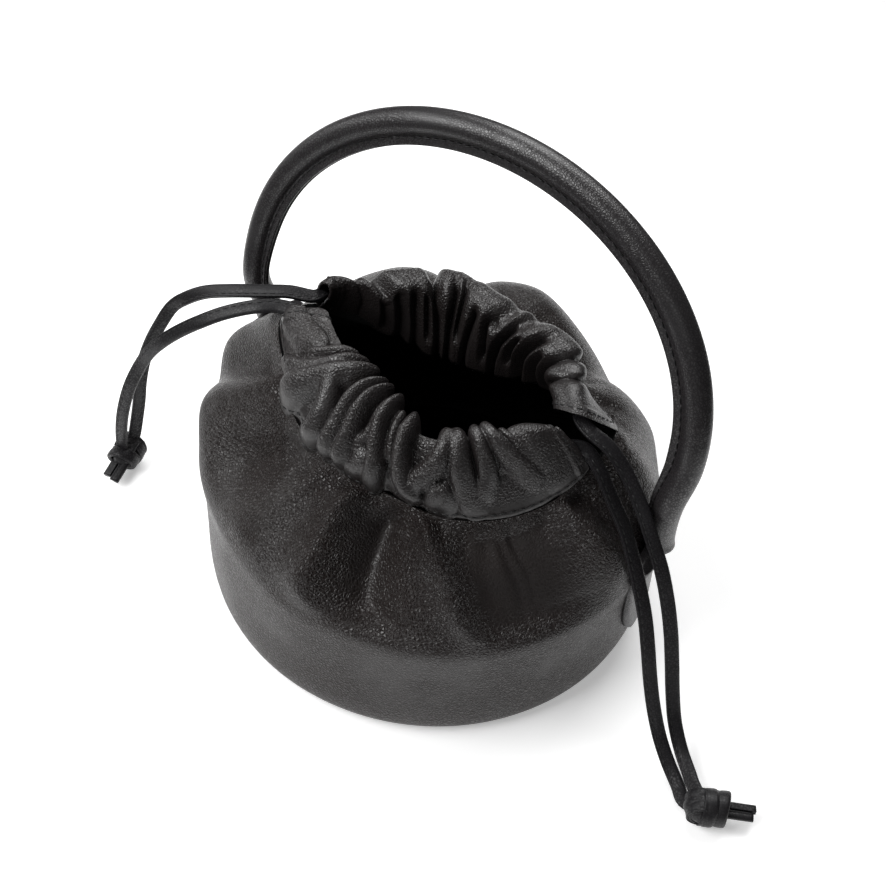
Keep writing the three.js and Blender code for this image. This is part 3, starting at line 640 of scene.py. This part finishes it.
def body_rows(angle, creased=True):
    """Rings of the pouch's outer face with its folds, from the foot up, and how its grain stands."""
    guides = pouch_sections(angle)
    places = np.concatenate([k + np.arange(n) / n for k, n in enumerate(SPAN_ROWS)] + [[len(SPAN_ROWS)]])
    rings = np.stack([spline(guides, p) for p in places])
    rise = np.clip((places - CREASE_SPAN) / (len(SPAN_ROWS) - CREASE_SPAN), 0, 1)[:, None] + 0 * angle
    turn = np.radians(angle) + 0 * rise
    height = np.zeros_like(rise)
    grain = WALL_GRAIN["lower"] + WALL_GRAIN["drape"] * smooth_step(rise, *WALL_GRAIN["rises"])
    for fold in FOLDS:
        share = fold_share(fold, angle + 0 * rise, rise)
        height += share * fold["height"]
        grain += share * fold["grain"]
    for crease in SEAM_CREASES if creased else []:
        dip = np.exp(-(turn_between(angle + 0 * rise, crease) / SEAM_CREASE["reach"]) ** 2)
        dip = dip * smooth_step(rise, *SEAM_CREASE["rises"]) * smooth_step(1 - rise, 0, SEAM_CREASE["seam"])
        height -= SEAM_CREASE["depth"] * dip
    crumpled = fold_share(FOLDS[CRUMPLE["fold"]], angle + 0 * rise, rise)
    height += crumpled * CRUMPLE["height"] * bumps(rings, CRUMPLE["size_mm"], CRUMPLE["seed"])
    loose = smooth_step(rings[..., 2], *SLACK["from_z"]) * smooth_step(1 - rise, 0, SLACK["seam"])
    height += loose * SLACK["height"] * bumps(rings, SLACK["size_mm"], SLACK["seed"])
    off_edge = np.hypot(rings[..., 2] - CREASE["z"], EDGE["round"])
    height += EDGE["height"] * np.exp((EDGE["round"] - off_edge) / EDGE["reach"])
    lift = unit(np.stack([np.cos(turn), np.sin(turn), FOLD_SWELL["upwards"] * rise], axis=-1))
    return rings + lift * height[..., None], np.clip(grain, *WALL_GRAIN["limits"])


def ring_normals(rings, outward):
    """Directions out of a surface of rings, on the side that the given directions mostly point to."""
    along = np.gradient(rings, axis=0)
    across = np.roll(rings, -1, axis=1) - np.roll(rings, 1, axis=1)
    normal = unit(np.cross(along, across))
    return normal * np.sign(np.sum(normal * outward))


body_angles = np.arange(BODY_AROUND) * 360 / BODY_AROUND
body_rings, body_grain = body_rows(body_angles)
body_outward = body_rings - (0, 0, CREASE["z"])
body_outward[:FOOT_ROWS] = (0, 0, -1)
body_plain = body_rows(body_angles, creased=False)[0]
body_inside = body_plain - ring_normals(body_plain, body_outward) * (WALL + INNER_GAP)
body_inside = body_inside[::-INNER_ROW_STEP]
body_loop = np.concatenate([body_rings, body_inside])
body_quads = grid_faces(len(body_loop), BODY_AROUND, join_rows=True)
body_finish = [body_leather if row < len(body_rings) - 1 else dark_shaded_flesh_side
               for row in range(len(body_loop)) for _ in range(BODY_AROUND)]
body_stand = np.concatenate([body_grain, np.zeros(body_inside.shape[:2])]).ravel()
pouch_body = make_piece("pouch_skin", [(body_loop.reshape(-1, 3), body_quads, body_finish, body_stand)])
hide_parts("pouch_body")


# The tunnel hems: the top of the skin is folded inside and sewn down, which leaves a tunnel for the
# laces in two halves, front and back. Drawn in by the laces, each half bunches into round gathers.
HEM_SKIN = 1.1
HEM_ALONG = 420
OUTER_ROWS = 30
INNER_ROWS = 28
ROW_SPACING = (1.5, 1.4)
# A hem laid flat: its length and height, what is tucked in below the seam inside and lapped over it
# outside, and where the lining inside the tunnel starts and ends, in shares of that height
HEM_RUN_MM = 150
HEM_RISE_MM = 30
HEM_TUCK = 0.25
HEM_LAP = 0.02
LINING = (0.14, -0.05)
# The least half thickness of the hem and of its lining, and how a lip rounds over
HEM_FLOOR = (0.3, 0.05)
LIP_ROUND = 6
# How far the gathers' bellies hang over the seam at the right and left of the front, how the back's inner
# face fills out as it hangs, and how the front's inner face puffs below its lip
OVERHANG = {"right": 1.3, "left": 5.7, "shares": (0.5, 0.75)}
HANG = {"least": 0.4, "more": 0.6, "round": 2.4}
INNER = {"lip_share": 0.45, "puff": 8.5, "depth": 0.6}
# Rolls are drawn this much wider than their reach and meet in tight valleys. Creases are part broad, part
# sharp. Both let the lip dip and the tucked edge rise between them.
ROLL_WIDEN = 1.15
ROLL_MEET = 9
CREASE_FULL = 6
CREASE_WIDEN = 1.2
CREASE_CUT = {"broad": 0.55, "sharp": 0.45, "bottom": 0.98}
LIP_DIP = 0.17
ROLL_DIP = 0.4
SCALLOP = 0.14
# The front's rolls droop over the seam on its left half, and all gathers are a little lumpy
DROOP = {"share": 0.1, "from": 0.3, "blur": 15, "row": 3, "shares": (0.5, 0.6), "round": 3}
LUMPS = {"size_mm": 11, "height": 1, "seed": 5}
END_HEM = {"edge": (3.7, 4.5), "rise": 0.7, "stitch": 2.6, "flat": (1, 16)}
SEWN = {"row": 1, "clear_of_ends": 6, "clear_of_seam": 2, "pressed": (2, 6)}
HEM_GRAIN = 0.34
# The same skin where hands and laces have rubbed it: the gathers' tops shine more than the wall does.
hem_leather = goatskin(
    "goatskin, drummed, rubbed on its gathers", "#151314", "#25201f", 1.2, 0.46, (0.3, 0.44), 0.78)
# The front half's outer face bunches into rolls and the back half's inner face, which hangs below the seam,
# is drawn in along creases. A roll has a height, a crease a depth, and both a reach in mm and a line of
# places (percent along the hem, share of the way from the seam to the lip). A notch has a place, how far
# it lowers the lip, and a reach. The ends are puffed out by a share of the rest.
HEMS = {
    "casing_front": {
        "lip": (189, 361), "hem": (190, 364), "face": "outer", "puff": 2.8, "end_puff": (0.6, 0.6),
        "notches": [],
        "rolls": [
            (3.5, 6.5, [(1, 0.3), (5, 0.45), (8, 0.62)]),
            (5, 2.6, [(12.2, 0.58), (13, 0.75), (13.6, 1)]),
            (6.5, 3, [(11.5, 0.2), (14, 0.4), (15.3, 0.52), (16.8, 0.7), (17.6, 0.9), (18, 1)]),
            (7.5, 4.4, [(15.8, 0.08), (17, 0.35), (18.5, 0.55), (20.5, 0.75), (23, 0.92), (23.5, 1)]),
            (7, 4.2, [(26.5, 0.08), (27.5, 0.25), (26.5, 0.42), (24.5, 0.54), (22, 0.64)]),
            (7, 3.6, [(32.5, 0.16), (32.5, 0.32), (32, 0.45), (31.3, 0.56), (30.5, 0.7), (30.3, 0.86),
                      (31, 1)]),
            (7, 3.6, [(36.8, 0.18), (36.6, 0.4), (36, 0.55), (35.2, 0.66), (34.8, 0.85), (35.5, 1)]),
            (4, 3, [(39.5, 0.4), (41, 0.55), (41.2, 0.7), (40.5, 0.85), (40.5, 1)]),
            (5.5, 5.5, [(41.5, 0.1), (42.5, 0.25)]),
            (7.5, 4.2, [(46.5, 0.1), (47, 0.38), (45.6, 0.52), (45, 0.62), (43.7, 0.78), (43.5, 1)]),
            (3.5, 2.8, [(50, 0.55), (49.2, 0.72), (48.5, 1)]),
            (7.5, 4, [(58.5, 0.15), (55.8, 0.32), (54.7, 0.5), (54, 0.68), (53.8, 0.85), (55, 1)]),
            (5.5, 4.2, [(58.5, 0.33), (61, 0.47), (63.5, 0.6), (66, 0.76), (68, 0.92), (68.5, 1)]),
            (4.5, 5.5, [(65.5, 0.08), (66, 0.25)]),
            (5.5, 4.5, [(74, 0.12), (72.8, 0.32), (72, 0.55), (71.7, 0.8), (71.8, 1)]),
            (5.5, 3.6, [(77, 0.34), (78.5, 0.5), (78.5, 0.7), (78, 1)]),
            (2.5, 9, [(80, 0.12), (86, 0.14)]),
            (6, 3.8, [(88.5, 0.36), (87, 0.5), (85, 0.68), (82.7, 0.88), (82, 1)]),
            (3.5, 2.2, [(89.5, 0.5), (88.3, 0.7), (87, 0.9), (86.3, 1)]),
            (5, 8, [(96, 0.2), (94.5, 0.5), (93.5, 0.8), (93, 1)])]},
    "casing_back": {
        "lip": (9, 179), "hem": (22, 178), "face": "inner", "puff": 8.5, "end_puff": (1.1, 0.35),
        "notches": [(97, -0.06, 3), (90.3, 0.25, 1.9), (74.5, 0.1, 2), (61, 0.04, 2), (43, 0.1, 3),
                    (36, 0.12, 3)],
        "creases": [
            (6, 5, [(94.5, 1), (94, 0.6), (94, 0.2), (94, -0.25)]),
            (5, 3.5, [(90.5, 0.8), (90.5, 0.5), (90, 0.2), (89.7, -0.05)]),
            (6, 4.5, [(87, 0.8), (86.3, 0.5), (86, 0.2), (85.8, -0.25)]),
            (6, 4.5, [(82, 0.8), (82.3, 0.5), (82, 0.2), (81.5, -0.25)]),
            (5, 3.5, [(78, 0.75), (78, 0.5), (78, 0.25), (78, 0.1)]),
            (6, 4.5, [(75, 1), (75.3, 0.85), (74, 0.5), (73.5, 0.2), (73, -0.25)]),
            (6, 4.5, [(67, 0.9), (68, 0.5), (68.5, 0.25), (68.5, -0.25)]),
            (5, 4, [(63.5, 0.95), (64.5, 0.6), (65, 0.35), (65, 0.27)]),
            (6, 4.5, [(57, 0.75), (58, 0.5), (59, 0.25), (59.5, 0.05), (59.5, -0.25)]),
            (5, 5, [(46, 0.87), (48.5, 0.83), (50, 0.75), (49, 0.55), (48, 0.35), (47.6, 0.14)]),
            (6, 4.5, [(38, 0.9), (39, 0.7), (40.5, 0.5), (41, 0.3), (41.5, 0.1), (41.5, -0.25)]),
            (5, 3.5, [(34, 0.75), (34.3, 0.55), (34.3, 0.35), (34, 0.2)]),
            (6, 4.5, [(27.5, 0.9), (28.8, 0.55), (29, 0.35), (28.5, 0.1), (28, -0.25)]),
            (4.5, 4, [(23.5, 0.65), (23.5, 0.4), (23, 0.15), (21.5, -0.25)]),
            (5, 4.5, [(18.8, 1), (18.8, 0.9), (19, 0.8), (18.5, 0.6), (17.5, 0.3), (16.5, 0)]),
            (3.5, 3.5, [(11, 1), (11, 0.85), (11.5, 0.7)])]},
}


def off_line(line, over_lip, across, up):
    """How far places on a hem laid flat are from a line on it, which may run on over the lip."""
    spots = np.array(line + over_lip) * (HEM_RUN_MM / 100, HEM_RISE_MM)
    off = np.full(np.shape(across), np.inf)
    for (x, y), (dx, dy) in zip(spots[:-1], np.diff(spots, axis=0)):
        t = np.clip(((across - x) * dx + (up - y) * dy) / (dx * dx + dy * dy), 0, 1)
        off = np.minimum(off, np.hypot(across - x - t * dx, up - y - t * dy))
    return off


def fullness(half, across, up):
    """How far the gathers stand out at places on a hem laid flat, its inner face above the lip's line."""
    if half["face"] == "outer":
        rolls = 0
        for height, reach, line in half["rolls"]:
            off = off_line(line, [(line[-1][0], 2 + HEM_TUCK)] * (line[-1][1] == 1), across, up)
            dome = np.sqrt(1 - np.clip(off / (reach * ROLL_WIDEN), 0, 1) ** 2)
            rolls = rolls + (height * dome) ** ROLL_MEET
        return half["puff"] + rolls ** (1 / ROLL_MEET)
    deepest = 0
    for depth, reach, line in half["creases"]:
        places = [(share, 2 - rise) for share, rise in line][::-1]
        off = off_line(places, [(line[0][0], 0)] * (line[0][1] == 1), across, up)
        near = 1 - np.clip(off / (reach * CREASE_WIDEN), 0, 1)
        sharp = 1 - np.sqrt(1 - (CREASE_CUT["bottom"] * near) ** 2)
        cut = CREASE_CUT["broad"] * near ** 2 + CREASE_CUT["sharp"] * sharp
        deepest = np.maximum(deepest, depth * cut)
    return half["puff"] - deepest


def hem_rings(half, skin):
    """Loops of a gathered hem, one after the other along it; skin sets them inside its faces."""
    share = np.linspace(0, 1, HEM_ALONG)[:, None]
    lip = half["lip"][0] + share * (half["lip"][1] - half["lip"][0])
    hem = half["hem"][0] + share * (half["hem"][1] - half["hem"][0])
    seam = rim_point(hem, "hem")
    up = rim_point(lip, "lip") - seam
    middle = np.radians((lip + hem) / 2)
    out = np.stack([np.cos(middle), np.sin(middle), 0 * middle], axis=-1)
    out = unit(out - up * (np.sum(out * up, axis=-1) / np.sum(up * up, axis=-1))[..., None])
    start, tuck = LINING if skin else (-HEM_LAP, HEM_TUCK)
    outer = 1 - (1 - start) * (1 - np.linspace(0, 1, OUTER_ROWS)) ** ROW_SPACING[0]
    inner = 1 - (1 + tuck) * np.linspace(0, 1, INNER_ROWS)[1:] ** ROW_SPACING[1]
    level = np.concatenate([outer, inner])[None, :]
    face = np.concatenate([np.ones(OUTER_ROWS), -np.ones(INNER_ROWS - 1)])[None, :]
    flat_up = np.where(face > 0, level, 2 - level) * HEM_RISE_MM + 0 * share
    flat_along = share * HEM_RUN_MM + 0 * level
    stand = fullness(half, flat_along, flat_up)
    front = half["face"] == "outer"
    pinch = (half["puff"] + CREASE_FULL * front - stand) / CREASE_FULL
    overhang = OVERHANG["right"] + OVERHANG["left"] * (1 - smooth_step(share, *OVERHANG["shares"])) * front
    close = np.sqrt(1 - np.clip(level, 0, 1) ** LIP_ROUND)
    hang = np.clip((level + HEM_TUCK) / (1 + HEM_TUCK), 0, 1)
    hanging = 1 if front else HANG["least"] + HANG["more"] * (1 - (1 - hang) ** HANG["round"])
    belly = np.where(face > 0, 1 - (1 - np.clip(level, 0, 1)) ** overhang, hanging)
    from_end = np.minimum(share, 1 - share) * HEM_RUN_MM
    rolled = END_HEM["rise"] * (1 - smooth_step(from_end, *END_HEM["edge"]))
    first, last = half["end_puff"]
    full = first + (1 - first) * smooth_step(share * HEM_RUN_MM, *END_HEM["flat"])
    full = full * (last + (1 - last) * smooth_step((1 - share) * HEM_RUN_MM, *END_HEM["flat"]))
    spots = seam + level[..., None] * up + face[..., None] * out * CREASE_FULL
    stand = stand + LUMPS["height"] * bumps(spots, LUMPS["size_mm"], LUMPS["seed"])
    if front:
        inside = smooth_step(1 - level, 0, INNER["depth"])
        tucked = INNER["lip_share"] * stand * (1 - inside) + INNER["puff"] * inside
        stand = np.where(face > 0, stand, tucked)
    side = face * np.maximum(stand * belly * close * full + rolled * close - skin, HEM_FLOOR[skin > 0])
    dip = LIP_DIP * (pinch - ROLL_DIP * front)
    for place, depth, reach in half["notches"]:
        dip = dip + depth * np.exp(-((share * 100 - place) / reach) ** 2)
    climb = level - dip * smooth_step(level, 0.2, 1) - skin / HEM_RISE_MM * smooth_step(level, 0.3, 1)
    climb = climb + SCALLOP * pinch * smooth_step(-level, -0.2, HEM_TUCK)
    if front:
        lobes = np.maximum(0, 1 - pinch[:, DROOP["row"]] - DROOP["from"])
        lobes = lobes * (1 - smooth_step(share[:, 0], *DROOP["shares"]))
        blur = np.hanning(DROOP["blur"])
        lobes = np.convolve(lobes, blur / blur.sum(), "same")[:, None]
        low_down = np.where(face > 0, (1 - np.clip(level, 0, 1)) ** DROOP["round"], 0)
        climb = climb - DROOP["share"] * lobes * full * low_down
    return seam + climb[..., None] * up + side[..., None] * out


for name, half in HEMS.items():
    rings = hem_rings(half, 0)
    normals = ring_normals(rings, rings - rings.mean(axis=1, keepdims=True))
    loop = np.concatenate([rings, hem_rings(half, HEM_SKIN)[::-1]])
    quads = grid_faces(len(loop), rings.shape[1], join_rows=True)
    finish = [hem_leather if row < HEM_ALONG or row == 2 * HEM_ALONG - 1 else dark_shaded_flesh_side
              for row in range(len(loop)) for _ in range(rings.shape[1])]
    # The skin is pressed smooth along the seam
    hem_grain = np.tile(HEM_GRAIN * smooth_step(np.arange(rings.shape[1]), *SEWN["pressed"]), len(loop))
    along_seam = np.s_[SEWN["clear_of_ends"]:-SEWN["clear_of_ends"], SEWN["row"]]
    sewn = stitches(rings[along_seam], normals[along_seam], thread)
    for column in (END_HEM["stitch"], HEM_RUN_MM - END_HEM["stitch"]):
        at = int(round(column / HEM_RUN_MM * (HEM_ALONG - 1)))
        up_end = np.s_[at, SEWN["clear_of_seam"]:-SEWN["clear_of_seam"]]
        sewn += stitches(rings[up_end], normals[up_end], thread)
    hem = make_piece(name.replace("casing", "tunnel_hem"), [
        (loop.reshape(-1, 3), quads, finish, hem_grain), *sewn])
    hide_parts(name)


# The tabs: two leather ears sewn flat on the pouch's sides, thick at the top where each takes an end
# of the handle.
TAB = {"angle": 11, "half_angle": 10, "top": 60, "bottom": 17, "thick": 2.4, "thick_top": 6.5}
TAB_SHAPE = {"round_share": 0.42, "corner_cut": 0.6, "thicken_from": 0.55}
TAB_EDGE = {"cut": 0.75, "round": 14}
TAB_GAP = 0.4
TAB_ROWS = 40
TAB_COLUMNS = 28
# The guide points that the upright wall lies between, from the foot's corner to the shoulder
WALL_SPANS = (2, 5)
WALL_STEPS = 90
# Skin pulled tight over piping: its grain is stretched flat and fine, so it shines in one long streak.
handle_leather = goatskin(
    "goatskin, stretched over piping", "#19181a", "#272425", 1.0, 0.05, (0.31, 0.4), 0.95)


def wall_point(angle, z, out):
    """Points at a height on the pouch's wall, or a distance outside it."""
    guides = pouch_sections(angle)
    places = np.linspace(*WALL_SPANS, WALL_STEPS)
    lines = np.stack([spline(guides, p) for p in places])
    points = np.stack([read_at(z[j], lines[:, j, 2], lines[:, j]) for j in range(len(angle))])
    turn = np.radians(angle)
    return points + np.stack([np.cos(turn), np.sin(turn), 0 * turn], axis=-1) * np.reshape(out, (-1, 1))


for name, middle in (("tab_left", 180 - TAB["angle"]), ("tab_right", TAB["angle"])):
    rings = []
    for share in np.linspace(0, 1, TAB_ROWS):
        below = 1 - min(1, share / TAB_SHAPE["round_share"])
        half_angle = TAB["half_angle"] * math.sqrt(1 - TAB_SHAPE["corner_cut"] * below ** 2)
        thicker = smooth_step(share, TAB_SHAPE["thicken_from"])
        thick = TAB["thick"] + (TAB["thick_top"] - TAB["thick"]) * thicker
        angles = middle + half_angle * np.linspace(-1, 1, TAB_COLUMNS)
        heights = np.full(TAB_COLUMNS, TAB["bottom"] + share * (TAB["top"] - TAB["bottom"]))
        from_middle = np.abs(np.linspace(-1, 1, TAB_COLUMNS))
        edge = np.sqrt(1 - TAB_EDGE["cut"] * from_middle ** TAB_EDGE["round"])
        rings.append(np.concatenate([wall_point(angles, heights, TAB_GAP),
                                     wall_point(angles, heights, TAB_GAP + thick * edge)[::-1]]))
    tab = make_piece(name + "_sewn", [
        (np.concatenate(rings), tube_faces(TAB_ROWS, 2 * TAB_COLUMNS), handle_leather)])
    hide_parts(name)


# The handle: a round cord core covered in the same skin, whose edges meet in a flat flange on the
# inside of the loop and are sewn together there. Its ends come down onto the tabs.
HANDLE = {"half_span": 93.6, "mid_z": 99.7, "rise": 80.2, "drop": 80.3, "lean": 17.3, "roll": -11.3}
HANDLE_SWEEP = (-88, 112)
HANDLE_GUIDES = 17
HANDLE_PIVOT_Z = 40
PIPE = {"radius": 5, "flange": 3, "flange_half": 1.3}
LEAF = {"groove": (0.25, 0.1), "lip": 0.3, "root": (0.4, 0.1)}
HANDLE_END = {"gap": 1, "lead": 4, "stand": 5.15, "flange": 0.6, "fade": (0.02, 0.14)}
HANDLE_SEAM = {"in": 0.5, "proud": 0.05}
HANDLE_STEP = 0.9
PIPE_SIDES = 40


def handle_guides():
    """Guide points of the handle's middle line: an oval loop, brought down at both ends onto the tabs."""
    turn = np.radians(np.linspace(*HANDLE_SWEEP, HANDLE_GUIDES))
    roll, lean = math.radians(HANDLE["roll"]), math.radians(HANDLE["lean"])
    wide = HANDLE["half_span"] * np.sin(turn)
    tall = np.cos(turn) * np.where(np.cos(turn) > 0, HANDLE["rise"], HANDLE["drop"])
    up = HANDLE["mid_z"] - wide * math.sin(roll) + tall * math.cos(roll) - HANDLE_PIVOT_Z
    loop = np.stack([wide * math.cos(roll) + tall * math.sin(roll), up * math.sin(lean),
                     HANDLE_PIVOT_Z + up * math.cos(lean)], axis=-1)
    ends = []
    for middle in (180 - TAB["angle"], TAB["angle"]):
        heights = TAB["top"] + HANDLE_END["gap"] + np.array([0, HANDLE_END["lead"]])
        ends.append(wall_point(np.full(2, float(middle)), heights, HANDLE_END["stand"]))
    return np.concatenate([ends[0], loop, ends[1][::-1]])


handle_line = even_line(handle_guides(), HANDLE_STEP)
handle_along = unit(np.gradient(handle_line, axis=0))
handle_in = np.array([0, 0, HANDLE["mid_z"]]) - handle_line
handle_in = unit(handle_in - np.sum(handle_in * handle_along, axis=1, keepdims=True) * handle_along)
handle_across = np.cross(handle_along, handle_in)
handle_share = np.linspace(0, 1, len(handle_line))
from_end = smooth_step(np.minimum(handle_share, 1 - handle_share), *HANDLE_END["fade"])
flange = HANDLE_END["flange"] + (PIPE["flange"] - HANDLE_END["flange"]) * from_end
start = math.asin(PIPE["flange_half"] / PIPE["radius"])
turns = np.linspace(start, 2 * np.pi - start, PIPE_SIDES)
pipe = [(PIPE["radius"] * math.cos(t), PIPE["radius"] * math.sin(t)) for t in turns]
inner = PIPE["radius"] * math.cos(start)
half = PIPE["flange_half"]
rings = []
for k, centre in enumerate(handle_line):
    # One leaf of the flange: its raw edge, the rounded corner outside it, and its root at the pipe
    edge = inner + flange[k]
    leaf = [(edge - LEAF["groove"][0], LEAF["groove"][1]), (edge, LEAF["lip"]), (edge, half - LEAF["lip"]),
            (edge - LEAF["lip"], half), (inner + LEAF["root"][0], half - LEAF["root"][1])]
    cut = np.array(leaf + pipe + [(a, -b) for a, b in leaf[::-1]])
    rings.append(centre + cut[:, :1] * handle_in[k] + cut[:, 1:] * handle_across[k])
seams = []
for each in (-1, 1):
    line = handle_line + (inner + HANDLE_SEAM["in"]) * handle_in
    line = line + each * (half + HANDLE_SEAM["proud"]) * handle_across
    seams += stitches(line, each * handle_across, thread)
handle = make_piece("handle_piped", [
    (np.concatenate(rings), tube_faces(len(rings), len(rings[0])), handle_leather), *seams])
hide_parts("handle")
